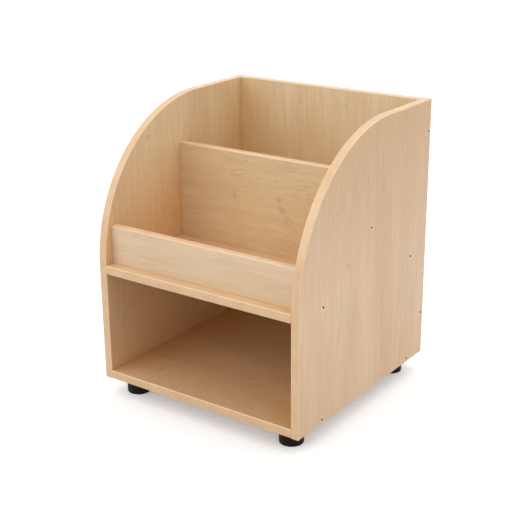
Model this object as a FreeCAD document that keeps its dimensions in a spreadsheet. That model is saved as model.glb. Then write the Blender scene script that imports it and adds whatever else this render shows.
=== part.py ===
import FreeCAD, Part
import os
import re

import Sketcher

# Picture book browser bin: a low, open two-row book bin over an open cubby, made of 18 mm
# melamine-faced chipboard with bevelled plastic edge bands, on four round feet.
# +Z is up, the front faces -Y, and the origin is on the floor under the middle of the bin.

Vector = FreeCAD.Vector
Rotation = FreeCAD.Rotation

# ------------------------------------------------------------------------------- sizes
# Places from front to back are measured from the front edges and heights from the underside
# of the boards, unless a note says otherwise.
SIZES = [
    ("width", "480", "over the two side panels"),
    ("depth", "480", "front edges to the rear face of the back panel"),
    ("carcass_height", "555", "underside to the top edges"),
    ("board", "18", "thickness of every board"),
    ("band", "2", "thickness of every edge band"),
    ("arris", "1.2", "bevel along the outer edges of a band"),
    ("nose_radius", "310", "quarter round from the front edge into the top edge"),
    ("shelf_level", "230", "underside of the bin floor shelf"),
    ("rail_height", "79", "front rail above the shelf"),
    ("rail_place", "21", "front face of the front rail"),
    ("divider_height", "204", "divider above the shelf"),
    ("divider_place", "241", "front face of the divider"),
    ("foot_height", "37", "floor to the underside of the boards"),
    ("foot_diameter", "50", "outside of the foot"),
    ("foot_inset", "48", "foot centre from the outer faces of the bin"),
    ("foot_wall", "3", "wall of the hollow foot"),
    ("foot_plate", "5", "closed top of the foot"),
    ("foot_plug", "10", "round plug on top of the foot"),
    ("foot_plug_length", "13", "its length"),
    ("screw_length", "50", "one-piece connector screw, overall"),
    ("screw_shank", "7.5", "over its shank and thread"),
    ("screw_head", "9.5", "its countersunk head"),
    ("screw_socket", "4", "hexagon socket across the flats"),
    ("socket_depth", "3", "depth of that socket"),
    ("screw_front", "80", "front screw of the shelf and of the bottom panel"),
    ("screw_rear", "66", "rear screw of both, in front of the rear face"),
    ("back_screw_low", "95", "lower screw of the back panel"),
    ("back_screw_high", "65", "upper screw of the back panel, below the top edge"),
    ("divider_screw", "98", "divider screw above the shelf"),
    ("biscuit_length", "56", "flat wooden biscuit"),
    ("biscuit_thickness", "4", "its thickness"),
    ("blade_radius", "50", "saw blade that cuts the slot for one end of a biscuit"),
    ("slot_depth", "12", "depth of that slot"),
    ("biscuit_place", "150", "biscuit from the middle of the bin"),
    ("fit", "0.05", "gap round every screw, biscuit and plug"),
    ("hole_end", "0.5", "room past the end of every screw, biscuit and plug"),
]

doc = FreeCAD.newDocument("PictureBookBin")
sheet = doc.addObject("Spreadsheet::Sheet", "Sizes")
for row, (alias, value, note) in enumerate(SIZES, start=1):
    sheet.set("A%d" % row, note)
    sheet.set("B%d" % row, value)
    sheet.setAlias("B%d" % row, alias)
doc.recompute()
ALIASES = {alias for alias, value, note in SIZES}

# Lengths and places that several pieces share.
INNER_HALF = "(width / 2 - board)"
LEFT_END = "-" + INNER_HALF
FRONT = "-depth / 2"
SHELF_TOP = "foot_height + shelf_level + board"
MID_BOARD = "board / 2"
SHANK_HOLE = "screw_shank + 2 * fit"
SCREW_ROWS = ("screw_front", "depth - screw_rear")
BACK_SCREWS = ("back_screw_low", "carcass_height - back_screw_high")
SLOT_CENTRE = "(blade_radius - slot_depth)"
BISCUIT_PAIR = ("-biscuit_place", "biscuit_place")


def bound(expression):
    """The expression with every size in it named as the sheet's own."""
    def owned(word):
        return "Sizes." + word.group() if word.group() in ALIASES else word.group()
    return re.sub("[a-z_]+", owned, expression)


def number(expression):
    """What the expression comes to."""
    return float(sheet.evalExpression(bound(expression)))


def point(pair):
    return Vector(number(pair[0]), number(pair[1]), 0)


# ------------------------------------------------------------------- bodies and sketches

PARTS = []


def new_body(label, place, rotation=Rotation()):
    """A body at a place given by three expressions."""
    body = doc.addObject("PartDesign::Body", label)
    body.Label = label
    body.AllowCompound = True
    body.Placement = FreeCAD.Placement(Vector(), rotation)
    for axis, expression in zip("xyz", place):
        body.setExpression("Placement.Base." + axis, bound(expression))
    PARTS.append(body)
    return body


def own(body, role):
    """One of the body's own origin planes or axes."""
    return (next(item for item in body.Origin.OriginFeatures if item.Role == role), [""])


def new_sketch(body, plane, offset="0"):
    """A sketch on an origin plane of the body, moved along the plane's normal."""
    sketch = body.newObject("Sketcher::SketchObject", body.Name + "_sketch")
    sketch.AttachmentSupport = own(body, plane)
    sketch.MapMode = "FlatFace"
    sketch.setExpression("AttachmentOffset.Base.z", bound(offset))
    return sketch


def dimension(sketch, expression, kind, *where):
    index = sketch.addConstraint(Sketcher.Constraint(kind, *where, number(expression)))
    sketch.setExpression("Constraints[%d]" % index, bound(expression))


def hold(sketch, curve, end, place):
    """Dimension one point of a curve from the sketch's axes."""
    for kind, axis, expression in (("DistanceX", -2, place[0]), ("DistanceY", -1, place[1])):
        if number(expression) == 0:
            sketch.addConstraint(Sketcher.Constraint("PointOnObject", curve, end, axis))
        else:
            dimension(sketch, expression, kind, -1, 1, curve, end)


def join(sketch, kind, before, end, after, start):
    sketch.addConstraint(Sketcher.Constraint(kind, before, end, after, start))


def line(sketch, start, end):
    return sketch.addGeometry(Part.LineSegment(point(start), point(end)))


def arc(sketch, centre, radius, start, end):
    """An arc held at its centre, counter-clockwise from start to end."""
    ring = Part.Circle(point(centre), Vector(0, 0, 1), number(radius))
    turns = [ring.parameter(point(place)) for place in (start, end)]
    curve = sketch.addGeometry(Part.ArcOfCircle(ring, *turns))
    hold(sketch, curve, 3, centre)
    dimension(sketch, radius, "Radius", curve)
    return curve


def polygon(sketch, corners):
    """A closed outline of straight lines through the corners."""
    curves = [line(sketch, a, b) for a, b in zip(corners, corners[1:] + corners[:1])]
    for index, corner in enumerate(corners):
        join(sketch, "Coincident", curves[index - 1], 2, curves[index], 1)
        hold(sketch, curves[index], 1, corner)


def rectangle(sketch, left, low, right, high):
    polygon(sketch, [(left, low), (right, low), (right, high), (left, high)])


def circle(sketch, centre, diameter):
    ring = Part.Circle(point(centre), Vector(0, 0, 1), number(diameter) / 2)
    curve = sketch.addGeometry(ring)
    hold(sketch, curve, 3, centre)
    dimension(sketch, diameter, "Diameter", curve)


# ------------------------------------------------------------------------------ features

def feature(body, kind, sketch, length=None, turned=False):
    """A pad, pocket or revolution of a sketch. A pad goes along the sketch's normal and a
    pocket against it, or the other way when turned."""
    made = body.newObject("PartDesign::" + kind, body.Name + "_" + kind.lower())
    made.Profile = sketch
    made.Reversed = turned
    if length:
        made.setExpression("Length", bound(length))
    doc.recompute()
    return made


def revolve(body, sketch, axis):
    """The sketch turned once round its own axis."""
    made = feature(body, "Revolution", sketch)
    made.ReferenceAxis = (sketch, [axis])
    doc.recompute()
    return made


def cut(body, sketch, depth, turned=False, midplane=False):
    """A pocket that has to take something away."""
    before = body.Shape.Volume
    made = feature(body, "Pocket", sketch, depth, turned)
    made.Midplane = midplane
    doc.recompute()
    if not made.Shape.Volume < before:
        raise RuntimeError(body.Label + ": a cut takes nothing away")
    return made


def drill(body, plane, offset, places, diameter, depth, turned=False):
    """Blind holes from a plane of the body into the board."""
    sketch = new_sketch(body, plane, offset)
    for place in places:
        circle(sketch, place, diameter)
    return cut(body, sketch, depth, turned)


def screw_cores(body, places):
    """Holes for the connector screws in both ends of a board that stands between the sides."""
    depth = "screw_length - board + hole_end"
    mirror(body, [drill(body, "YZ_Plane", INNER_HALF, places, SHANK_HOLE, depth)])


def slots(body, plane, offset, centres):
    """Biscuit slots, cut by a saw blade whose middle stays outside the board."""
    sketch = new_sketch(body, plane, offset)
    for centre in centres:
        circle(sketch, centre, "2 * blade_radius")
    return cut(body, sketch, "biscuit_thickness + 2 * fit", midplane=True)


def mirror(body, originals):
    """The features once more on the other side of the body's YZ plane."""
    made = body.newObject("PartDesign::Mirrored", body.Name + "_mirrored")
    made.Originals = originals
    made.MirrorPlane = own(body, "YZ_Plane")
    body.Tip = made
    doc.recompute()
    return made


def repeat(body, axis, spacing):
    """Everything in the body once more, at a spacing along one of its axes."""
    made = body.newObject("PartDesign::LinearPattern", body.Name + "_pair")
    made.TransformMode = "Whole shape"
    made.Direction = own(body, axis)
    made.Occurrences = 2
    made.setExpression("Length", bound(spacing))
    body.Tip = made
    doc.recompute()


# --------------------------------------------------------------------------- side panels
# One board each: a straight front edge, a quarter round, and a level top edge, cut inside
# the finished outline by the band on every edge. The right-hand panel has its outer face on
# the body's YZ plane, and the left-hand one is its mirror image, made at the end.

RIGHT_FACE = ("width / 2", FRONT, "foot_height")
NOSE_CENTRE = ("nose_radius", "carcass_height - nose_radius")

right_side = new_body("right_side_panel", RIGHT_FACE)
outline = new_sketch(right_side, "YZ_Plane")
nose_top = ("nose_radius", "carcass_height - band")
nose_front = ("band", "carcass_height - nose_radius")
side_low = ("band", "band")
side_rear = ("depth - band", "band")
side_top = ("depth - band", "carcass_height - band")
nose = arc(outline, NOSE_CENTRE, "nose_radius - band", nose_top, nose_front)
front_edge = line(outline, nose_front, side_low)
base_edge = line(outline, side_low, side_rear)
rear_edge = line(outline, side_rear, side_top)
top_edge = line(outline, side_top, nose_top)
join(outline, "Tangent", nose, 2, front_edge, 1)
join(outline, "Coincident", front_edge, 2, base_edge, 1)
join(outline, "Coincident", base_edge, 2, rear_edge, 1)
join(outline, "Coincident", rear_edge, 2, top_edge, 1)
join(outline, "Tangent", top_edge, 2, nose, 1)
hold(outline, base_edge, 1, side_low)
hold(outline, rear_edge, 1, side_rear)
hold(outline, top_edge, 1, side_top)
feature(right_side, "Pad", outline, "board", turned=True)

# A biscuit slot in the inner face for the end of the front rail, in the rail's mid-plane.
RAIL_MIDDLE = "shelf_level + board + rail_height / 2"
rail_plane = "-(rail_place + board / 2)"
slots(right_side, "XZ_Plane", rail_plane, [("-board - " + SLOT_CENTRE, RAIL_MIDDLE)])

# Countersunk holes for the connector screws, from the outer face, into the back panel, the
# divider, the shelf and the bottom panel.
side_screws = [("depth - board / 2", height) for height in BACK_SCREWS]
side_screws += [("divider_place + board / 2", "shelf_level + board + divider_screw")]
side_screws += [(row, "shelf_level + board / 2") for row in SCREW_ROWS]
side_screws += [(row, MID_BOARD) for row in SCREW_ROWS]
screw_places = new_sketch(right_side, "YZ_Plane")
for place in side_screws:
    circle(screw_places, place, SHANK_HOLE)
screw_holes = right_side.newObject("PartDesign::Hole", "right_side_screw_holes")
screw_holes.Profile = screw_places
doc.recompute()
screw_holes.ThreadType = "None"
screw_holes.DepthType = "ThroughAll"
screw_holes.HoleCutType = "Countersink"
screw_holes.HoleCutCustomValues = True
screw_holes.HoleCutCountersinkAngle = 90
screw_holes.setExpression("Diameter", bound(SHANK_HOLE))
screw_holes.setExpression("HoleCutDiameter", bound("screw_head + 2 * fit"))
doc.recompute()

# -------------------------------------------------------------------------- level panels
# The bottom panel and the bin floor shelf: between the sides, in front of the back panel,
# banded at the front, each held by two screws at either end. The body's Y = 0 is the
# finished front edge. The bottom panel has holes in its underside for the plugs of the feet.


def level_panel(label, underside):
    body = new_body(label, ("0", FRONT, underside))
    plan = new_sketch(body, "XY_Plane")
    rectangle(plan, LEFT_END, "band", INNER_HALF, "depth - board")
    feature(body, "Pad", plan, "board")
    screw_cores(body, [(row, MID_BOARD) for row in SCREW_ROWS])
    return body


bottom_panel = level_panel("bottom_panel", "foot_height")
foot_places = [
    (x, y)
    for x in ("foot_inset - width / 2", "width / 2 - foot_inset")
    for y in ("foot_inset", "depth - foot_inset")
]
drill(bottom_panel, "XY_Plane", "0", foot_places, "foot_plug + 2 * fit",
      "foot_plug_length + hole_end", turned=True)

# The shelf has biscuit slots in its top face for the front rail and the divider.
bin_floor = level_panel("bin_floor_shelf", "foot_height + shelf_level")
for front_face in ("rail_place", "divider_place"):
    blade_places = [(x, "board + " + SLOT_CENTRE) for x in BISCUIT_PAIR]
    slots(bin_floor, "XZ_Plane", "-(%s + board / 2)" % front_face, blade_places)

# ---------------------------------------------------------------------------- back panel
# Full height between the sides, its front face on the body's XZ plane.

back_panel = new_body("back_panel", ("0", "depth / 2 - board", "foot_height"))
back_outline = new_sketch(back_panel, "XZ_Plane")
rectangle(back_outline, LEFT_END, "band", INNER_HALF, "carcass_height - band")
feature(back_panel, "Pad", back_outline, "board", turned=True)
screw_cores(back_panel, [(MID_BOARD, height) for height in BACK_SCREWS])

# --------------------------------------------------------------- divider and front rail
# Both stand on the shelf between the sides, banded on top, on two biscuits each. The divider
# has a screw in either end, and the rail a biscuit.


def standing_board(label, front_face, height):
    body = new_body(label, ("0", front_face + " - depth / 2", SHELF_TOP))
    plan = new_sketch(body, "XY_Plane")
    rectangle(plan, LEFT_END, "0", INNER_HALF, "board")
    feature(body, "Pad", plan, height + " - band")
    slots(body, "XZ_Plane", "-board / 2", [(x, "-" + SLOT_CENTRE) for x in BISCUIT_PAIR])
    return body


divider = standing_board("divider_panel", "divider_place", "divider_height")
screw_cores(divider, [(MID_BOARD, "divider_screw")])
front_rail = standing_board("front_rail", "rail_place", "rail_height")
rail_end = [(INNER_HALF + " + " + SLOT_CENTRE, "rail_height / 2")]
mirror(front_rail, [slots(front_rail, "XZ_Plane", "-board / 2", rail_end)])

# ---------------------------------------------------------------------------- edge bands
# Plastic strip as wide as the board is thick, bevelled along both outer edges. Its section
# lies in the body's XY plane, with the outer face at Y = 0 and the wood beyond Y = band.


def band_section(body, left, right):
    sketch = new_sketch(body, "XY_Plane")
    polygon(sketch, [
        (left, "band"), (left, "arris"), (left + " + arris", "0"),
        (right + " - arris", "0"), (right, "arris"), (right, "band"),
    ])
    return sketch


# The side panel's long strip: up the front edge, round the nose and back along the top.
long_band = new_body("right_side_edge_band", RIGHT_FACE)
strip = long_band.newObject("PartDesign::AdditivePipe", "right_side_edge_band_strip")
strip.Profile = band_section(long_band, "-board", "0")
path = new_sketch(long_band, "YZ_Plane")
path_front = line(path, ("0", "0"), ("0", "carcass_height - nose_radius"))
path_top = line(path, ("nose_radius", "carcass_height"), ("depth", "carcass_height"))
path_ends = [("nose_radius", "carcass_height"), ("0", "carcass_height - nose_radius")]
path_nose = arc(path, NOSE_CENTRE, "nose_radius", *path_ends)
join(path, "Coincident", path_front, 1, -1, 1)
join(path, "Tangent", path_front, 2, path_nose, 2)
join(path, "Tangent", path_nose, 1, path_top, 1)
hold(path, path_top, 2, ("depth", "carcass_height"))
strip.Spine = (path, [])
doc.recompute()


def straight_band(label, place, rotation, length):
    """A strip along the body's Z axis, its section on the +X side of the origin."""
    body = new_body(label, place, rotation)
    feature(body, "Pad", band_section(body, "0", "board"), length)
    return body


# The rear strip of the side panel, under the end of the long one, and its base strip between
# the two. Then the strips along X: in front of the level panels, on top of the standing
# boards, and on top of and underneath the back panel.
X, Y, Z = Vector(1, 0, 0), Vector(0, 1, 0), Vector(0, 0, 1)
FACING_FRONT = Rotation(-Z, Y, X)
FACING_UP = Rotation(-Y, -Z, X)
FACING_DOWN = Rotation(Y, Z, X)
rear_band = straight_band("right_side_rear_band", ("width / 2", "depth / 2", "foot_height"),
                          Rotation(-X, -Y, Z), "carcass_height - band")
base_band = straight_band("right_side_base_band", ("width / 2", "band - depth / 2", "foot_height"),
                          Rotation(-X, Z, Y), "depth - 2 * band")
CROSS_BANDS = [
    ("bottom_front_band", FRONT, "foot_height + board", FACING_FRONT),
    ("shelf_front_band", FRONT, SHELF_TOP, FACING_FRONT),
    ("rail_top_band", "rail_place + board - depth / 2", SHELF_TOP + " + rail_height", FACING_UP),
    ("divider_top_band", "divider_place + board - depth / 2",
     SHELF_TOP + " + divider_height", FACING_UP),
    ("back_top_band", "depth / 2", "foot_height + carcass_height", FACING_UP),
    ("back_base_band", "depth / 2 - board", "foot_height", FACING_DOWN),
]
for label, y, z, rotation in CROSS_BANDS:
    straight_band(label, (LEFT_END, y, z), rotation, "width - 2 * board")

# Left-hand copies of the side panel and its bands.
for right in (right_side, long_band, rear_band, base_band):
    left = doc.addObject("Part::Mirroring", right.Name.replace("right", "left"))
    left.Label = right.Label.replace("right", "left")
    left.Source = right
    left.Base = Vector(0, 0, 0)
    left.Normal = X
    PARTS.append(left)

# ---------------------------------------------------------------------- connector screws
# One-piece steel screws with a countersunk head and a hexagon socket, through the side panels
# into the ends of the boards between them. One node holds all the screws of a joint. The
# screw that is drawn lies along the body's X axis, its head flush with the right side panel.


def connector_screws(label, y, z, axis=None, spacing=None):
    body = new_body(label, ("0", y + " - depth / 2", "foot_height + " + z))
    half = new_sketch(body, "XZ_Plane")
    polygon(half, [
        ("width / 2 - screw_length", "0"),
        ("width / 2", "0"),
        ("width / 2", "screw_head / 2"),
        ("width / 2 - (screw_head - screw_shank) / 2", "screw_shank / 2"),
        ("width / 2 - screw_length", "screw_shank / 2"),
    ])
    shank = revolve(body, half, "H_Axis")
    hexagon = new_sketch(body, "YZ_Plane", "width / 2")
    flat, side, tip = "screw_socket / 2", "screw_socket / 2 / sqrt(3)", "screw_socket / sqrt(3)"
    polygon(hexagon, [
        (flat, side), ("0", tip), ("-" + flat, side),
        ("-" + flat, "-" + side), ("0", "-" + tip), (flat, "-" + side),
    ])
    mirror(body, [shank, cut(body, hexagon, "socket_depth")])
    if axis:
        repeat(body, axis, spacing)


screw_gap = "depth - screw_rear - screw_front"
connector_screws("back_screws", "depth - board / 2", "back_screw_low",
                 "Z_Axis", "carcass_height - back_screw_high - back_screw_low")
connector_screws("divider_screws", "divider_place + board / 2",
                 "shelf_level + board + divider_screw")
connector_screws("shelf_screws", "screw_front", "shelf_level + board / 2", "Y_Axis", screw_gap)
connector_screws("bottom_screws", "screw_front", "board / 2", "Y_Axis", screw_gap)

# ------------------------------------------------------------------------------ biscuits
# Flat pressed-beech ovals with cut ends, glued into the slots: two under the divider, two
# under the front rail and one at either end of the rail. The body's X axis is the long axis.

BLADE = "(blade_radius - hole_end)"
HALF_LENGTH = "biscuit_length / 2"
BISCUIT_TIP = "(sqrt(%s^2 - (%s)^2) - %s)" % (BLADE, HALF_LENGTH, SLOT_CENTRE)


def biscuit(label, place, rotation=Rotation()):
    body = new_body(label, place, rotation)
    sketch = new_sketch(body, "XZ_Plane")
    right_high, left_high = (HALF_LENGTH, BISCUIT_TIP), ("-" + HALF_LENGTH, BISCUIT_TIP)
    left_low, right_low = ("-" + HALF_LENGTH, "-" + BISCUIT_TIP), (HALF_LENGTH, "-" + BISCUIT_TIP)
    top = arc(sketch, ("0", "-" + SLOT_CENTRE), BLADE, right_high, left_high)
    left_tip = line(sketch, left_high, left_low)
    base = arc(sketch, ("0", SLOT_CENTRE), BLADE, left_low, right_low)
    right_tip = line(sketch, right_low, right_high)
    join(sketch, "Coincident", top, 2, left_tip, 1)
    join(sketch, "Coincident", left_tip, 2, base, 1)
    join(sketch, "Coincident", base, 2, right_tip, 1)
    join(sketch, "Coincident", right_tip, 2, top, 1)
    for tip, x in ((left_tip, "-" + HALF_LENGTH), (right_tip, HALF_LENGTH)):
        sketch.addConstraint(Sketcher.Constraint("Vertical", tip))
        dimension(sketch, x, "DistanceX", -1, 1, tip, 1)
    plate = feature(body, "Pad", sketch, "biscuit_thickness")
    plate.Midplane = True
    doc.recompute()
    return body


def biscuit_pair(label, front_face):
    """Two biscuits along the foot of a board that stands on the shelf."""
    place = ("-biscuit_place", front_face + " + board / 2 - depth / 2", SHELF_TOP)
    repeat(biscuit(label, place), "X_Axis", "2 * biscuit_place")


biscuit_pair("divider_biscuits", "divider_place")
biscuit_pair("rail_base_biscuits", "rail_place")
rail_biscuit_place = ("-" + INNER_HALF, "rail_place + board / 2 - depth / 2",
                      SHELF_TOP + " + rail_height / 2")
end_biscuits = biscuit("rail_end_biscuits", rail_biscuit_place, Rotation(Y, 90))
repeat(end_biscuits, "Z_Axis", "width - 2 * board")

# ---------------------------------------------------------------------------------- feet
# Hollow plastic cups, open underneath. The plate that closes the top lies against the bottom
# panel, and the plug on it is pressed into the panel. One node holds the two front feet and
# one the two rear.


def feet_pair(label, y):
    body = new_body(label, ("foot_inset - width / 2", y, "0"))
    half = new_sketch(body, "XZ_Plane")
    inside = "foot_diameter / 2 - foot_wall"
    polygon(half, [
        ("0", "foot_height + foot_plug_length"),
        ("0", "foot_height - foot_plate"),
        (inside, "foot_height - foot_plate"),
        (inside, "0"),
        ("foot_diameter / 2", "0"),
        ("foot_diameter / 2", "foot_height"),
        ("foot_plug / 2", "foot_height"),
        ("foot_plug / 2", "foot_height + foot_plug_length"),
    ])
    revolve(body, half, "V_Axis")
    repeat(body, "X_Axis", "width - 2 * foot_inset")


feet_pair("front_feet", "foot_inset - depth / 2")
feet_pair("rear_feet", "depth / 2 - foot_inset")

# ------------------------------------------------------------------------ check and write

doc.recompute()
for item in doc.Objects:
    if "Invalid" in item.State or "Error" in item.State:
        raise RuntimeError(item.Label + " failed: " + ", ".join(item.State))
for piece in PARTS:
    if piece.Shape.isNull() or not piece.Shape.isValid() or not piece.Shape.Solids:
        raise RuntimeError(piece.Label + " has no valid solid")

os.makedirs("parts", exist_ok=True)
for piece in PARTS:
    piece.Shape.exportStep(os.path.join("parts", piece.Label + ".step"))
print("wrote %d sub-parts" % len(PARTS))
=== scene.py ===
import math

import bmesh
import bpy
from mathutils import Matrix, Vector


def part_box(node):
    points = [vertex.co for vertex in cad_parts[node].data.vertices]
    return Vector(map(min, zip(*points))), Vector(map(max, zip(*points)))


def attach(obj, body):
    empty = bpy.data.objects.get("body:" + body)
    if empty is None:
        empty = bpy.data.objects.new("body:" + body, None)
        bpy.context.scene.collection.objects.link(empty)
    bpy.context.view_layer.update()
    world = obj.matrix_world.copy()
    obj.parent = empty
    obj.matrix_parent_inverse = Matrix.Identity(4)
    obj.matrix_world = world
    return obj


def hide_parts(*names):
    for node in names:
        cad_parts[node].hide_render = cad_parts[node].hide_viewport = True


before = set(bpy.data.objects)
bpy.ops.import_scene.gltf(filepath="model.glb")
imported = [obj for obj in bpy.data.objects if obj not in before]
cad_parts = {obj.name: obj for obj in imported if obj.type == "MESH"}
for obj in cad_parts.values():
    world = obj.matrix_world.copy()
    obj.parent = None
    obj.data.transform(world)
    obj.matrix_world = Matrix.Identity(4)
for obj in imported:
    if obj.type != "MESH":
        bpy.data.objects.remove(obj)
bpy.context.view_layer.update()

# ---------------------------------------------------------------------------- side panels
# Two boards of 18 mm chipboard, faced on both sides with maple-print melamine whose grain
# stands upright. Sawn and routed to a quarter-round nose, then drilled for seven screws each.

MM = 0.001
GRAIN_UPRIGHT = (0, 0, 0)
# The two colour sockets of a Mix node.
UNDER, OVER = 6, 7
SHADE_SAMPLES = 8


def paint(hex_colour):
    """An sRGB hex colour as linear red, green, blue and alpha."""
    channels = [int(hex_colour[place:place + 2], 16) / 255 for place in (0, 2, 4)]
    return [c / 12.92 if c <= 0.04045 else ((c + 0.055) / 1.055) ** 2.4 for c in channels] + [1]


def add(tree, kind, sockets=None, **settings):
    """Add a node: sockets maps a socket's name or number to a value or another node's output."""
    made = tree.nodes.new("ShaderNode" + kind)
    for name, value in settings.items():
        setattr(made, name, value)
    for name, value in (sockets or {}).items():
        if isinstance(value, bpy.types.NodeSocket):
            tree.links.new(value, made.inputs[name])
        else:
            made.inputs[name].default_value = value
    return made


def plain_material(name):
    """A new material, its node tree and its shader."""
    material = bpy.data.materials.new(name)
    material.use_nodes = True
    return material, material.node_tree, material.node_tree.nodes["Principled BSDF"]


def stretched(across, along):
    """Mapping scale for a pattern of that size in millimetres, across and along the grain."""
    return (1 / (across * MM), 1 / (across * MM), 1 / (along * MM))


def knot_clouds(tree, place, grain, knots):
    """A soft cloud about 20 mm across at each knot: 1 at its heart, 0 away from it."""
    clouds = None
    for knot in knots:
        away = add(tree, "VectorMath", {0: place, 1: knot}, operation="SUBTRACT").outputs[0]
        turned = add(tree, "Mapping", {"Vector": away, "Rotation": grain}).outputs[0]
        scaled = add(tree, "VectorMath", {0: turned, 1: stretched(11, 10)},
                     operation="MULTIPLY").outputs[0]
        reach = add(tree, "VectorMath", {0: scaled}, operation="LENGTH").outputs["Value"]
        spot = add(tree, "MapRange", {"Value": reach, "From Min": 1.3, "From Max": 0.0},
                   interpolation_type="SMOOTHSTEP").outputs[0]
        if clouds is None:
            clouds = spot
        else:
            clouds = add(tree, "Math", {0: clouds, 1: spot}, operation="MAXIMUM").outputs[0]
    return clouds


def maple_melamine(name, grain, cut, pale, honey, knots=(), foot=None, painted_corner_shade=0.0, wave=1.5,
                   figure=1.0):
    """Melamine paper printed as flat-sawn maple: pale and low in contrast, with soft clouds,
    faint arches, fine wavy fibres and a few small marks, and a satin face with shallow pores.
    Cut moves the print on the board. Pale and honey are its ground and its streaks, and each
    knot is a place in the part's own frame. Foot is painted light and shade at the board's
    lower end: the tone painted there, paler on some boards and deeper on others as light falls
    on them, and the heights over which it turns into the pale one. The argument tanned sets
    the painted corner shade: how far the print is painted warmer and deeper towards the bin's
    inner corners, where shade and warm bounced light fall. The last 4 mm towards a joint are
    painted darker, as dust and painted shade. Wave is how far the grain wanders sideways, in
    millimetres, and figure how strong it is drawn."""
    rose, brown, fleck, joint_dust_and_shade = paint("dcb494"), paint("b4865a"), paint("a5653a"), paint("7a4520")
    material, tree, skin = plain_material(name)
    place = add(tree, "TexCoord").outputs["Object"]
    board = add(tree, "Mapping", {"Vector": place, "Location": cut, "Rotation": grain}).outputs[0]
    # The grain wanders in bends about 70 mm long. The noise mostly keeps within a sixth of its
    # middle value, so a sway of six times the wave moves the grain by about the wave itself.
    sway = 6 * wave * MM
    bends = add(tree, "Mapping", {"Vector": board, "Scale": stretched(28, 70)}).outputs[0]
    bends = add(tree, "TexNoise", {"Vector": bends, "Scale": 1.0, "Detail": 1.0}).outputs["Color"]
    bends = add(tree, "VectorMath", {0: bends, 1: (0.5, 0.5, 0.5)}, operation="SUBTRACT").outputs[0]
    board = add(tree, "VectorMath", {0: bends, 1: (sway, sway, 0), 2: board},
                operation="MULTIPLY_ADD").outputs[0]

    def streaks(across, along, detail, roughness=0.5, waver=0.0):
        """Soft streaks of that size in millimetres, across and along the grain."""
        spread = add(tree, "Mapping", {"Vector": board, "Scale": stretched(across, along)}).outputs[0]
        return add(tree, "TexNoise", {"Vector": spread, "Scale": 1.0, "Detail": detail,
                                      "Roughness": roughness, "Distortion": waver}).outputs["Fac"]

    # Arches: rings 17 mm apart, cut at a slant so that they close into long points. A wave
    # texture's rings are 0.3142 apart at a scale of 1.
    arch_scale = 0.3142 / (17 * MM)
    clouds = knot_clouds(tree, place, grain, knots)
    slant = add(tree, "Mapping", {"Vector": board, "Scale": (1, 1, 0.09),
                                  "Rotation": (math.radians(24), math.radians(31), 0)}).outputs[0]
    if knots:
        # A knot bends the arches round it.
        slant = add(tree, "VectorMath", {0: slant, 1: clouds}, operation="ADD").outputs[0]
    rings = add(tree, "TexWave", {"Vector": slant, "Scale": arch_scale, "Distortion": 5.0,
                                  "Detail": 3.0, "Detail Scale": 0.35, "Detail Roughness": 0.55},
                wave_type="RINGS", rings_direction="Z", wave_profile="SAW").outputs["Fac"]

    # Painted light and shade: the board's lower end is painted in the foot's tone, which turns into
    # the ground tone up the board.
    colour = paint(pale)
    if foot:
        tone, start, end = foot
        height = add(tree, "SeparateXYZ", {"Vector": place}).outputs["Z"]
        rise = add(tree, "MapRange", {"Value": height, "From Min": start, "From Max": end}).outputs[0]
        colour = add(tree, "Mix", {"Factor": rise, UNDER: paint(tone), OVER: colour},
                     data_type="RGBA").outputs[2]

    # Fibres 2.4 mm wide that come and go in patches. They and the small brown dashes are drawn
    # at twice their real width so that they show.
    fibres = add(tree, "MapRange", {"Value": streaks(2.4, 70, 3, 0.55, 0.6), "From Min": 0.44,
                                    "From Max": 0.66}).outputs[0]
    patches = add(tree, "MapRange", {"Value": streaks(45, 120, 2), "From Min": 0.35,
                                     "From Max": 0.65, "To Min": 0.35}).outputs[0]
    fibres = add(tree, "Math", {0: fibres, 1: patches}, operation="MULTIPLY").outputs[0]

    # The print in layers: a pattern, the values over which it comes in, its strength, its ink.
    layers = [
        (streaks(90, 420, 2), 0.35, 0.65, 0.5, paint(honey)),
        (streaks(16, 220, 3), 0.4, 0.65, 0.22 * figure, rose),
        (streaks(5, 110, 2, 0.5, 0.4), 0.42, 0.7, 0.2 * figure, paint(honey)),
        (rings, 0.5, 1.0, 0.07, brown),
        (fibres, 0.0, 1.0, 0.26 * figure, brown),
        (streaks(1.6, 11, 2), 0.66, 0.8, 0.3 * figure, fleck),
    ]
    if knots:
        # Within a knot's cloud lie short strokes across the grain.
        strokes = add(tree, "MapRange", {"Value": streaks(9, 3.5, 2, waver=0.5), "From Min": 0.42,
                                         "From Max": 0.62}).outputs[0]
        strokes = add(tree, "Math", {0: strokes, 1: clouds}, operation="MULTIPLY").outputs[0]
        layers.append((strokes, 0.0, 1.0, 0.36 * figure, fleck))
    # Dust and painted shade darken the last 4 mm of the board towards a joint: the print is painted
    # darker where the joint's shade falls.
    joint = add(tree, "AmbientOcclusion", {"Distance": 4 * MM}, samples=SHADE_SAMPLES).outputs["AO"]
    layers.append((joint, 1.0, 0.5, 0.12, joint_dust_and_shade))
    for pattern, low, high, most, ink in layers:
        share = add(tree, "MapRange", {"Value": pattern, "From Min": low, "From Max": high,
                                       "To Max": most}).outputs[0]
        colour = add(tree, "Mix", {"Factor": share, UNDER: colour, OVER: ink},
                     data_type="RGBA").outputs[2]
    if painted_corner_shade:
        # Painted shade: the print is painted warmer and deeper over the last 150 mm towards a corner
        # of the bin, where shade and warm bounced light fall.
        corner = add(tree, "AmbientOcclusion", {"Distance": 150 * MM},
                     samples=SHADE_SAMPLES).outputs["AO"]
        share = add(tree, "MapRange", {"Value": corner, "From Min": 0.9, "From Max": 0.45,
                                       "To Max": painted_corner_shade}).outputs[0]
        colour = add(tree, "Mix", {"Factor": share, UNDER: colour, OVER: paint("fff0d2")},
                     data_type="RGBA", blend_type="MULTIPLY").outputs[2]
    tree.links.new(colour, skin.inputs["Base Color"])

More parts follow.
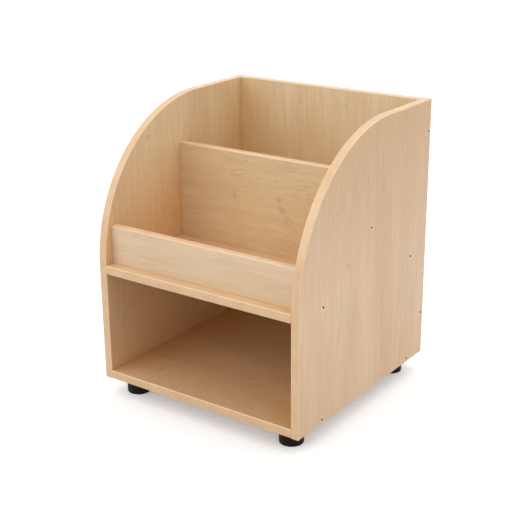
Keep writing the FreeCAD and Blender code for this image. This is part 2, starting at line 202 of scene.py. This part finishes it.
    # Pores: 0.6 mm wide and 12 mm long, pressed 0.03 mm deep. They also break up the sheen.
    pores = streaks(0.6, 12, 2)
    sheen = add(tree, "MapRange", {"Value": pores, "From Min": 0.3, "From Max": 0.7,
                                   "To Min": 0.38, "To Max": 0.5}).outputs[0]
    tree.links.new(sheen, skin.inputs["Roughness"])
    press = add(tree, "Bump", {"Height": pores, "Strength": 0.25, "Distance": 0.03 * MM}).outputs[0]
    tree.links.new(press, skin.inputs["Normal"])
    skin.inputs["IOR"].default_value = 1.5
    return material


def dress(node, material):
    """Give a carried-over piece its material."""
    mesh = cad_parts[node].data
    mesh.materials.clear()
    mesh.materials.append(material)


# Every board carries the same print, but each gets its own pale and honey, some lighter and some
# deeper, to match how light falls on it: painted light and shade, as lit and shaded copies of one
# print.
RIGHT_KNOTS = [(0.240, -0.098, 0.467), (0.240, -0.095, 0.448), (0.240, -0.189, 0.433),
               (0.240, 0.046, 0.450), (0.240, -0.074, 0.330), (0.240, -0.172, 0.236)]
LEFT_KNOTS = [(-0.222, -0.059, 0.363), (-0.222, -0.095, 0.516), (-0.222, -0.175, 0.186)]
# Its lower end is painted paler: painted light, as from the floor.
dress("right_side_panel", maple_melamine(
    "maple_melamine_right_side", GRAIN_UPRIGHT, (-0.17, 0.05, 0.31), pale="e0bc91",
    honey="dab285", knots=RIGHT_KNOTS, foot=("f2d1ae", 0.28, 0.56), figure=0.85))
# Its lower end is painted deeper and warmer: painted shade inside the cubby. Its corners in the bin
# get painted corner shade.
dress("left_side_panel", maple_melamine(
    "maple_melamine_left_side", GRAIN_UPRIGHT, (0.15, -0.11, 0.77), pale="ecdab4",
    honey="dbb585", knots=LEFT_KNOTS, foot=("e2be93", 0.34, 0.58), painted_corner_shade=0.5))

# --------------------------------------------------------------------------- level panels
# The bottom panel and the bin floor shelf: the same faced chipboard with its grain running
# from side to side, screwed between the side panels.

GRAIN_SIDEWAYS = (0, -math.pi / 2, 0)
BOTTOM_KNOTS = [(-0.143, -0.172, 0.055), (0.035, -0.104, 0.055)]
# Its corners in the cubby get painted corner shade, at full strength.
dress("bottom_panel", maple_melamine(
    "maple_melamine_bottom", GRAIN_SIDEWAYS, (0.11, 0.07, 0.2), pale="e2be92",
    honey="d5a975", knots=BOTTOM_KNOTS, painted_corner_shade=1.0, wave=2.6, figure=1.4))
# Its corners in the bin get painted corner shade.
dress("bin_floor_shelf", maple_melamine(
    "maple_melamine_shelf", GRAIN_SIDEWAYS, (0.2, -0.04, 1.3), pale="ecd0ae",
    honey="deb98c", painted_corner_shade=0.5))

# ----------------------------------------------------------------------------- back panel
# One board of the same faced chipboard that stands between the sides from the base to the top.
# Its grain is upright, and two screws through each side panel hold it.

BACK_KNOTS = [(-0.044, 0.222, 0.482), (0.047, 0.222, 0.556)]
# Its lower end is painted paler: painted light low in the back bin. Its corners in the bin get painted
# corner shade.
dress("back_panel", maple_melamine(
    "maple_melamine_back", GRAIN_UPRIGHT, (0.04, -0.15, 1.9), pale="eedab3",
    honey="dfbe8d", knots=BACK_KNOTS, foot=("f9e9ca", 0.30, 0.42), painted_corner_shade=0.8))

# ----------------------------------------------------------------- divider and front rail
# Two boards of faced chipboard that stand on the shelf and part the books into rows, with
# their grain from side to side. Both are biscuited to the shelf. The divider is also screwed
# between the sides, and the rail is biscuited to them.

DIVIDER_KNOTS = [(-0.079, 0.001, 0.399), (0.030, 0.001, 0.403), (0.040, 0.001, 0.382),
                 (0.052, 0.001, 0.362)]
dress("divider_panel", maple_melamine(
    "maple_melamine_divider", GRAIN_SIDEWAYS, (0.43, -0.07, 2.2), pale="e7d1a9",
    honey="d9b988", knots=DIVIDER_KNOTS, wave=3.2, figure=1.35))
# Its foot is painted a little deeper: painted shade above the shelf's ledge.
dress("front_rail", maple_melamine(
    "maple_melamine_rail", GRAIN_SIDEWAYS, (0.37, 0.1, 2.9), pale="edd5b4",
    honey="debd90", foot=("e6d0b2", 0.29, 0.34), wave=2.2))

# ----------------------------------------------------------------------------- edge bands
# Strip of ABS plastic 2 mm thick, coloured through to match the maple and hot-glued to every
# edge that shows. Its outer corners are scraped to a small round after gluing.

BAND_THICKNESS = 2 * MM
ARRIS, ARRIS_STEPS = 1.8 * MM, 5
# A face is flat when its normal is this close to an axis.
FLAT = 0.99
SMOOTH_BELOW = math.radians(40)


def abs_edging(name, light, deep, streak):
    """Through-coloured ABS: a warm plastic, a little pinker than the boards, embossed with a
    fine grain and printed with faint lengthwise streaks. The lacquer over the print makes it
    glossier than bare ABS, so its IOR stands above the 1.54 of that plastic."""
    material, tree, skin = plain_material(name)
    run = add(tree, "UVMap", uv_map="along_the_strip").outputs[0]
    # Streaks 1.5 mm wide and 120 mm long; mottle about 30 mm across.
    lines = add(tree, "Mapping", {"Vector": run,
                                  "Scale": (1 / (120 * MM), 1 / (1.5 * MM), 1)}).outputs[0]
    lines = add(tree, "TexNoise", {"Vector": lines, "Scale": 1.0, "Detail": 3.0}).outputs["Fac"]
    place = add(tree, "TexCoord").outputs["Object"]
    mottle = add(tree, "TexNoise", {"Vector": place, "Scale": 1 / (30 * MM),
                                    "Detail": 2.0}).outputs["Fac"]
    share = add(tree, "MapRange", {"Value": mottle, "From Min": 0.35, "From Max": 0.65}).outputs[0]
    base = add(tree, "Mix", {"Factor": share, UNDER: paint(light), OVER: paint(deep)},
               data_type="RGBA").outputs[2]
    share = add(tree, "MapRange", {"Value": lines, "From Min": 0.45, "From Max": 0.75,
                                   "To Max": 0.4}).outputs[0]
    base = add(tree, "Mix", {"Factor": share, UNDER: base, OVER: paint(streak)},
               data_type="RGBA").outputs[2]
    tree.links.new(base, skin.inputs["Base Color"])
    # Emboss 0.8 mm across and 0.02 mm deep.
    grit = add(tree, "TexNoise", {"Vector": place, "Scale": 1 / (0.8 * MM),
                                  "Detail": 1.0}).outputs["Fac"]
    press = add(tree, "Bump", {"Height": grit, "Strength": 0.2, "Distance": 0.02 * MM}).outputs[0]
    tree.links.new(press, skin.inputs["Normal"])
    skin.inputs["Roughness"].default_value = 0.22
    skin.inputs["IOR"].default_value = 1.62
    return material


edging = abs_edging("maple_abs_edging", "e6c094", "e0b789", "d5a26f")
# The bands on the tops get a whiter copy of the edging: painted light, standing for the sheen and the
# light those faces catch from above.
edging_lit_from_above = abs_edging("maple_abs_edging_painted_top_light", "e4c4a3", "deba95", "d3a87c")
# The rounded outer corners get a paler copy of the edging: a painted highlight along the arris.
arris_highlight_edging = abs_edging("abs_corner_painted_highlight", "f0cea6", "ecc79d", "e4bc90")


def piece(name, form, material):
    """Make an object of the bmesh, shaded smooth except over its sharp edges."""
    bmesh.ops.recalc_face_normals(form, faces=form.faces)
    mesh = bpy.data.meshes.new(name)
    form.to_mesh(mesh)
    form.free()
    mesh.materials.append(material)
    mesh.shade_smooth()
    mesh.set_sharp_from_angle(angle=SMOOTH_BELOW)
    made = bpy.data.objects.new(name, mesh)
    bpy.context.scene.collection.objects.link(made)
    return made


def finish_band(name, form, run, node, is_corner, strip=edging):
    """Lay the print along the strip and let the band stand for its node. Run gives a
    corner's distance along the strip, and is_corner tells the scraped faces from the flat."""
    print_map = form.loops.layers.uv.new("along_the_strip")
    for face in form.faces:
        face.normal_update()
        # The rounded corner faces take the paler edging: a painted highlight.
        face.material_index = 1 if is_corner(face.normal) else 0
        for corner in face.loops:
            spot = corner.vert.co
            corner[print_map].uv = (run(spot), spot.x + spot.y + spot.z - run(spot))
    band = piece(name, form, strip)
    band.data.materials.append(arris_highlight_edging)
    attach(band, "root")
    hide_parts(node)


def straight_band(name, node, length_axis, outward_axis, outward, strip=edging):
    """A block the size of the node, its two long outer edges rounded."""
    low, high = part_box(node)
    form = bmesh.new()
    size = Matrix.Diagonal((*(high - low), 1))
    bmesh.ops.create_cube(form, size=1, matrix=Matrix.Translation((low + high) / 2) @ size)
    outer = high[outward_axis] if outward > 0 else low[outward_axis]
    long_edges = [
        edge for edge in form.edges
        if abs((edge.verts[0].co - edge.verts[1].co)[length_axis]) > MM
        and abs(edge.verts[0].co[outward_axis] - outer) < 0.1 * MM
    ]
    bmesh.ops.bevel(form, geom=long_edges, offset=ARRIS, offset_type="OFFSET",
                    segments=ARRIS_STEPS, profile=0.5, affect="EDGES", material=-1)
    finish_band(name, form, lambda spot: spot[length_axis], node,
                lambda normal: max(abs(part) for part in normal) < FLAT, strip)


# The long strip of a side panel is bent in one piece: up the front, round the nose and back
# along the top.
NOSE_RADIUS = 310 * MM
NOSE_STEPS = 72


def nosed_band(name, node):
    """The strip's cross-section, rounded at its outer corners and drawn along the nose."""
    low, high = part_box(node)
    inner_y = low.y + BAND_THICKNESS
    form = bmesh.new()
    corners = [form.verts.new((x, y, low.z)) for x, y in (
        (low.x, inner_y), (high.x, inner_y), (high.x, low.y), (low.x, low.y))]
    form.faces.new(corners)
    bmesh.ops.bevel(form, geom=corners[2:], offset=ARRIS, offset_type="OFFSET",
                    segments=ARRIS_STEPS, profile=0.5, affect="VERTICES", material=-1)
    nose_centre = Vector((0, low.y + NOSE_RADIUS, high.z - NOSE_RADIUS))

    def leading(geometry):
        return [item for item in geometry if isinstance(item, bmesh.types.BMFace)]

    def drawn(ends, vec):
        """Draw the strip's end on by a straight length, and give the new end."""
        grown = bmesh.ops.extrude_face_region(form, geom=ends)["geom"]
        bmesh.ops.translate(form, vec=vec,
                            verts=[item for item in grown if isinstance(item, bmesh.types.BMVert)])
        return leading(grown)

    ends = drawn(form.faces[:], (0, 0, nose_centre.z - low.z))
    turned = bmesh.ops.spin(form, geom=ends, cent=nose_centre, axis=(-1, 0, 0),
                            angle=math.pi / 2, steps=NOSE_STEPS, dvec=(0, 0, 0))["geom_last"]
    inside = ends + leading(turned)
    drawn(leading(turned), (0, high.y - nose_centre.y, 0))
    # The ends that the next length has covered are taken out, so that the strip is one skin.
    bmesh.ops.delete(form, geom=[face for face in inside if face.is_valid], context="FACES_ONLY")

    def run(spot):
        if spot.z <= nose_centre.z:
            return spot.z
        bend = min(max(math.atan2(spot.z - nose_centre.z, nose_centre.y - spot.y), 0), math.pi / 2)
        return nose_centre.z + NOSE_RADIUS * bend + max(spot.y - nose_centre.y, 0)

    finish_band(name, form, run, node, lambda normal: 1 - FLAT < abs(normal.x) < FLAT)


X, Y, Z = 0, 1, 2
nosed_band("right_nosed_edging", "right_side_edge_band")
nosed_band("left_nosed_edging", "left_side_edge_band")
straight_band("right_rear_edging", "right_side_rear_band", Z, Y, 1)
straight_band("left_rear_edging", "left_side_rear_band", Z, Y, 1)
straight_band("right_base_edging", "right_side_base_band", Y, Z, -1)
straight_band("left_base_edging", "left_side_base_band", Y, Z, -1)
straight_band("bottom_front_edging", "bottom_front_band", X, Y, -1)
straight_band("shelf_front_edging", "shelf_front_band", X, Y, -1)
straight_band("rail_top_edging", "rail_top_band", X, Z, 1, edging_lit_from_above)
straight_band("divider_top_edging", "divider_top_band", X, Z, 1, edging_lit_from_above)
straight_band("back_top_edging", "back_top_band", X, Z, 1, edging_lit_from_above)
straight_band("back_base_edging", "back_base_band", X, Z, -1)

# ---------------------------------------------------------------------- connector screws
# One-piece furniture connectors: turned steel, bright zinc plated, with a coarse thread, a
# countersunk head flush with the panel and a hexagon socket. Seven go into each side.

HEAD, SHANK, CORE = 9.5 / 2 * MM, 7.5 / 2 * MM, 5 / 2 * MM
SCREW_LENGTH, SHOULDER, SHOULDER_SLOPE = 50 * MM, 15 * MM, 1 * MM
TIP_LENGTH, TIP_RADIUS = 4 * MM, 0.5 * MM
# The head's straight edge and the fine bevel on it.
LIP, LIP_BEVEL_WIDTH, LIP_BEVEL_DEPTH = 0.25 * MM, 0.15 * MM, 0.1 * MM
# The socket has a cone at its bottom and a dish round its mouth.
SOCKET, SOCKET_DEPTH = 4 / 2 * MM, 3 * MM
CONE, DISH_WIDTH, DISH_DEPTH = 0.8 * MM, 1.1 * MM, 0.25 * MM
# The thread's ridge is 2 mm wide, sunk a little into the core and just short of the shank.
PITCH, TURNS, STEPS_PER_TURN = 3 * MM, 10, 20
RIDGE_START, RIDGE_HALF, RIDGE_SUNK, RIDGE_SHORT = SHOULDER + 2 * MM, 1 * MM, 0.1 * MM, 0.05 * MM
SCREW_FACETS = 48
NEAR = 0.05 * MM


def zinc_plate():
    """Bright zinc over turned steel: a light, warm grey metal with a straw-coloured bloom."""
    material, tree, skin = plain_material("zinc_plated_steel")
    place = add(tree, "TexCoord").outputs["Object"]
    # Bloom about 4 mm across.
    bloom = add(tree, "TexNoise", {"Vector": place, "Scale": 1 / (4 * MM),
                                   "Detail": 2.0}).outputs["Fac"]
    share = add(tree, "MapRange", {"Value": bloom, "From Min": 0.35, "From Max": 0.65}).outputs[0]
    base = add(tree, "Mix", {"Factor": share, UNDER: paint("dcd5c3"), OVER: paint("ddd0b0")},
               data_type="RGBA").outputs[2]
    tree.links.new(base, skin.inputs["Base Color"])
    sheen = add(tree, "MapRange", {"Value": bloom, "To Min": 0.35, "To Max": 0.5}).outputs[0]
    tree.links.new(sheen, skin.inputs["Roughness"])
    skin.inputs["Metallic"].default_value = 1
    return material


def painted_shade_in_socket():
    """The walls and dished mouth of the pressed socket, painted near black: painted shade inside a
    socket that is zinc plated like the head.
    """
    material, tree, skin = plain_material("socket_painted_shade")
    place = add(tree, "TexCoord").outputs["Object"]
    # Press marks about 1 mm across.
    marks = add(tree, "TexNoise", {"Vector": place, "Scale": 1 / MM, "Detail": 1.0}).outputs["Fac"]
    base = add(tree, "Mix", {"Factor": marks, UNDER: paint("1c140c"), OVER: paint("33281c")},
               data_type="RGBA").outputs[2]
    tree.links.new(base, skin.inputs["Base Color"])
    skin.inputs["Roughness"].default_value = 0.55
    return material


zinc = zinc_plate()
socket_shade = painted_shade_in_socket()


def turned(form, profile, steps, centre=(0, 0, 0), axis=(1, 0, 0)):
    """Turn a chain of vertices round the axis into a closed skin."""
    chain = [form.verts.new(spot) for spot in profile]
    edges = [form.edges.new(pair) for pair in zip(chain, chain[1:])]
    bmesh.ops.spin(form, geom=chain + edges, cent=centre, axis=axis, angle=2 * math.pi,
                   steps=steps, use_merge=True, dvec=(0, 0, 0))
    bmesh.ops.remove_doubles(form, verts=form.verts, dist=0.002 * MM)


def connector_screw():
    """One screw along X, its head's face at x = 0 and its tip on the -X side."""
    form = bmesh.new()
    profile = [
        (-SOCKET_DEPTH - CONE, 0), (-SOCKET_DEPTH, SOCKET), (-DISH_DEPTH, SOCKET),
        (0, SOCKET + DISH_WIDTH), (0, HEAD - LIP_BEVEL_WIDTH), (-LIP_BEVEL_DEPTH, HEAD),
        (-LIP, HEAD), (SHANK - HEAD, SHANK), (-SHOULDER, SHANK),
        (-SHOULDER - SHOULDER_SLOPE, CORE), (-SCREW_LENGTH + TIP_LENGTH, CORE),
        (-SCREW_LENGTH, TIP_RADIUS), (-SCREW_LENGTH, 0),
    ]
    turned(form, [(x, 0, radius) for x, radius in profile], steps=SCREW_FACETS)
    # The faces of the socket and of its dish get the dark socket material: painted shade.
    for face in form.faces:
        middle = face.calc_center_median()
        inside = math.hypot(middle.y, middle.z) < SOCKET + DISH_WIDTH
        if inside and -SOCKET_DEPTH - CONE < middle.x < -NEAR:
            face.material_index = 1
    # The socket's rings are pushed out to the flats and corners of a hexagon.
    for vert in form.verts:
        radius = math.hypot(vert.co.y, vert.co.z)
        if SOCKET - NEAR < radius < SOCKET + NEAR and vert.co.x > -SOCKET_DEPTH - NEAR:
            beside_flat = math.atan2(vert.co.y, vert.co.z) % (math.pi / 3) - math.pi / 6
            vert.co.yz *= 1 / math.cos(beside_flat)
    # The thread is a three-cornered ridge that winds along the core.
    ridge = [form.verts.new((x - RIDGE_START, 0, radius)) for x, radius in (
        (-RIDGE_HALF, CORE - RIDGE_SUNK), (0, SHANK - RIDGE_SHORT), (RIDGE_HALF, CORE - RIDGE_SUNK))]
    bmesh.ops.spin(form, geom=[form.faces.new(ridge)], axis=(1, 0, 0), angle=2 * math.pi * TURNS,
                   steps=STEPS_PER_TURN * TURNS, dvec=(-PITCH / STEPS_PER_TURN, 0, 0))
    bmesh.ops.recalc_face_normals(form, faces=form.faces)
    mesh = bpy.data.meshes.new("connector_screw")
    form.to_mesh(mesh)
    form.free()
    return mesh


one_screw = connector_screw()


def screws(name, node, row=None):
    """Copies of the screw in both sides of the bin, two along the row's axis or one alone."""
    low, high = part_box(node)
    middle = [(low[axis] + high[axis]) / 2 for axis in (X, Y, Z)]
    places = [(middle[Y], middle[Z])]
    if row == Y:
        places = [(y, middle[Z]) for y in (low.y + HEAD, high.y - HEAD)]
    if row == Z:
        places = [(middle[Y], z) for z in (low.z + HEAD, high.z - HEAD)]
    form = bmesh.new()
    for y, z in places:
        for x, turn in ((high.x, 0), (low.x, math.pi)):
            before = len(form.verts)
            form.from_mesh(one_screw)
            form.verts.ensure_lookup_table()
            bmesh.ops.transform(form, verts=form.verts[before:],
                                matrix=Matrix.Translation((x, y, z)) @ Matrix.Rotation(turn, 4, "Z"))
    group = piece(name, form, zinc)
    group.data.materials.append(socket_shade)
    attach(group, "root")
    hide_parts(node)


screws("back_connectors", "back_screws", Z)
screws("divider_connectors", "divider_screws")
screws("shelf_connectors", "shelf_screws", Y)
screws("bottom_connectors", "bottom_screws", Y)

# ------------------------------------------------------------------------------ biscuits
# Flat ovals of pressed beech, die-cut across the grain and glued into sawn slots. They are
# hidden in the joints.


def pressed_beech():
    """Bare compressed beech: matt, pinkish brown, with short dark dashes of ray."""
    material, tree, skin = plain_material("pressed_beech")
    place = add(tree, "TexCoord").outputs["Object"]
    # Rays 0.5 mm wide and 4 mm long.
    rays = add(tree, "Mapping", {"Vector": place, "Scale": stretched(0.5, 4)}).outputs[0]
    rays = add(tree, "TexNoise", {"Vector": rays, "Scale": 1.0, "Detail": 2.0}).outputs["Fac"]
    share = add(tree, "MapRange", {"Value": rays, "From Min": 0.45, "From Max": 0.75}).outputs[0]
    base = add(tree, "Mix", {"Factor": share, UNDER: paint("d3ab80"), OVER: paint("9a6a45")},
               data_type="RGBA").outputs[2]
    tree.links.new(base, skin.inputs["Base Color"])
    press = add(tree, "Bump", {"Height": rays, "Strength": 0.4, "Distance": 0.05 * MM}).outputs[0]
    tree.links.new(press, skin.inputs["Normal"])
    skin.inputs["Roughness"].default_value = 0.7
    return material


beech = pressed_beech()
for node in ("divider_biscuits", "rail_base_biscuits", "rail_end_biscuits"):
    dress(node, beech)

# ---------------------------------------------------------------------------------- feet
# Moulded black polypropylene cups, 50 mm across, with a plug on top that is pressed into the
# bottom panel. The rim that stands on the floor is rounded and the outer wall tapers a little.

FOOT_RADIUS, FOOT_HEIGHT = 25 * MM, 37 * MM
FOOT_WALL, FOOT_PLATE = 3 * MM, 5 * MM
PLUG_RADIUS, PLUG_BEVEL = 5 * MM, 0.6 * MM
SHOULDER_BEVEL, RIM_BEVEL, CAVITY_CORNER = 0.5 * MM, 0.8 * MM, 1.5 * MM
OUTER_TAPER, INNER_TAPER = 0.6 * MM, 0.5 * MM
RIM_ROUND, RIM_STEPS = 2 * MM, 6
FOOT_FACETS = 96


def black_polypropylene():
    """Black PP as it leaves the mould: dark and half matt. Its fine spark-eroded texture
    scatters most of the sheen, so the specular level is low."""
    material, tree, skin = plain_material("black_polypropylene")
    place = add(tree, "TexCoord").outputs["Object"]
    # Mould texture 0.7 mm across and 0.04 mm deep, coarser than real so that it shows.
    grit = add(tree, "TexNoise", {"Vector": place, "Scale": 1 / (0.7 * MM),
                                  "Detail": 2.0}).outputs["Fac"]
    share = add(tree, "MapRange", {"Value": grit, "From Min": 0.4, "From Max": 0.7}).outputs[0]
    base = add(tree, "Mix", {"Factor": share, UNDER: paint("110b08"), OVER: paint("1b130f")},
               data_type="RGBA").outputs[2]
    tree.links.new(base, skin.inputs["Base Color"])
    press = add(tree, "Bump", {"Height": grit, "Strength": 0.3, "Distance": 0.04 * MM}).outputs[0]
    tree.links.new(press, skin.inputs["Normal"])
    skin.inputs["Roughness"].default_value = 0.5
    skin.inputs["IOR"].default_value = 1.49
    skin.inputs["Specular IOR Level"].default_value = 0.14
    return material


moulding = black_polypropylene()


def feet(name, node):
    """A pair of feet, each turned from its outline: plug, shoulder, wall, rim and cavity."""
    low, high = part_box(node)
    plug_top = high.z
    form = bmesh.new()
    rim_centre = FOOT_RADIUS - OUTER_TAPER - RIM_ROUND
    quarter = [math.pi / 2 * step / RIM_STEPS for step in range(RIM_STEPS + 1)]
    rim = [(rim_centre + RIM_ROUND * math.sin(turn), RIM_ROUND - RIM_ROUND * math.cos(turn))
           for turn in quarter]
    cavity, ceiling = FOOT_RADIUS - FOOT_WALL, FOOT_HEIGHT - FOOT_PLATE
    outline = [
        (0, plug_top), (PLUG_RADIUS - PLUG_BEVEL, plug_top), (PLUG_RADIUS, plug_top - PLUG_BEVEL),
        (PLUG_RADIUS, FOOT_HEIGHT), (FOOT_RADIUS - SHOULDER_BEVEL, FOOT_HEIGHT),
        (FOOT_RADIUS, FOOT_HEIGHT - SHOULDER_BEVEL), *reversed(rim),
        (cavity + RIM_BEVEL, 0), (cavity, RIM_BEVEL),
        (cavity - INNER_TAPER, ceiling - CAVITY_CORNER),
        (cavity - INNER_TAPER - CAVITY_CORNER, ceiling), (0, ceiling),
    ]
    for x in (low.x + FOOT_RADIUS, high.x - FOOT_RADIUS):
        middle = Vector((x, (low.y + high.y) / 2, 0))
        turned(form, [middle + Vector((0, radius, z)) for radius, z in outline],
               steps=FOOT_FACETS, centre=middle, axis=(0, 0, 1))
    pair = piece(name, form, moulding)
    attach(pair, "root")
    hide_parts(node)


feet("front_moulded_feet", "front_feet")
feet("rear_moulded_feet", "rear_feet")

# -------------------------------------------------------------------- floor, light, camera
# A pale studio floor that looks white to the camera and keeps the bin's soft shadow, a white
# sky as the fill light, four large softboxes, and a camera on a stand.

FLOOR_WIDTH = 40
form = bmesh.new()
bmesh.ops.create_grid(form, x_segments=1, y_segments=1, size=FLOOR_WIDTH / 2)
floor_mesh = bpy.data.meshes.new("studio_floor")
form.to_mesh(floor_mesh)
form.free()
floor = bpy.data.objects.new("studio_floor", floor_mesh)
bpy.context.scene.collection.objects.link(floor)
# To the camera and in reflections it is bright white, and as a source of bounced light it is
# a light grey, so that less light comes up to the front of the bin.
studio_white, tree, paper = plain_material("studio_white")


def looked_at(tree):
    """1 where the camera, a reflection or clear material looks, and 0 for light that bounces."""
    rays = add(tree, "LightPath").outputs
    seen = add(tree, "Math", {0: rays["Is Camera Ray"], 1: rays["Is Glossy Ray"]},
               operation="MAXIMUM").outputs[0]
    return add(tree, "Math", {0: seen, 1: rays["Is Transmission Ray"]},
               operation="MAXIMUM").outputs[0]


LIFT = 0.28
seen = looked_at(tree)
tone = add(tree, "Mix", {"Factor": seen, UNDER: paint("c0c0c0"), OVER: paint("f8f8f8")},
           data_type="RGBA").outputs[2]
lift = add(tree, "Math", {0: seen, 1: LIFT}, operation="MULTIPLY").outputs[0]
tree.links.new(tone, paper.inputs["Base Color"])
tree.links.new(lift, paper.inputs["Emission Strength"])
paper.inputs["Emission Color"].default_value = paint("ffffff")
paper.inputs["Roughness"].default_value = 0.9
paper.inputs["Specular IOR Level"].default_value = 0
floor_mesh.materials.append(studio_white)

# The sky is the fill light, and white where the camera or a reflection sees it.
FILL = 0.76
world = bpy.data.worlds.new("studio")
world.use_nodes = True
bpy.context.scene.world = world
sky = world.node_tree
sky.nodes.clear()
strength = add(sky, "MapRange", {"Value": looked_at(sky), "To Min": FILL, "To Max": 1.0}).outputs[0]
glow = add(sky, "Background", {"Color": paint("ffffff"), "Strength": strength}).outputs[0]
add(sky, "OutputWorld", {"Surface": glow})

# Each softbox is a wide sun: its strength, its bearing from the front towards the right, and
# how far above the floor it stands, in degrees.
SOFTBOX_SPREAD = math.radians(50)
for name, energy, bearing, rise in (
        ("front_softbox", 0.70, -35, 32), ("back_softbox", 0.6, 180, 60),
        ("right_softbox", 0.4, 90, 50), ("left_softbox", 0.17, -90, 50)):
    lamp = bpy.data.lights.new(name, "SUN")
    lamp.energy = energy
    lamp.angle = SOFTBOX_SPREAD
    softbox = bpy.data.objects.new(name, lamp)
    aim = Matrix.Rotation(math.radians(bearing), 3, "Z") @ Matrix.Rotation(-math.radians(rise), 3, "X")
    softbox.rotation_euler = (aim @ Vector((0, 1, 0))).to_track_quat("-Z", "Y").to_euler()
    bpy.context.scene.collection.objects.link(softbox)

# The camera stands a metre up and looks down on the front and the right-hand side.
EYE = Vector((1.2337, -1.7470, 1.0498))
TURN, TILT, LEAN = math.radians(35.57), math.radians(20.01), math.radians(-0.48)
LENS, SENSOR_WIDTH = 76.68, 36
camera = bpy.data.objects.new("camera", bpy.data.cameras.new("camera"))
camera.data.lens = LENS
camera.data.sensor_width = SENSOR_WIDTH
camera.matrix_world = (Matrix.Translation(EYE) @ Matrix.Rotation(TURN, 4, "Z")
                       @ Matrix.Rotation(math.pi / 2 - TILT, 4, "X") @ Matrix.Rotation(LEAN, 4, "Z"))
bpy.context.scene.collection.objects.link(camera)
bpy.context.scene.camera = camera
bpy.context.scene.view_settings.view_transform = "Standard"
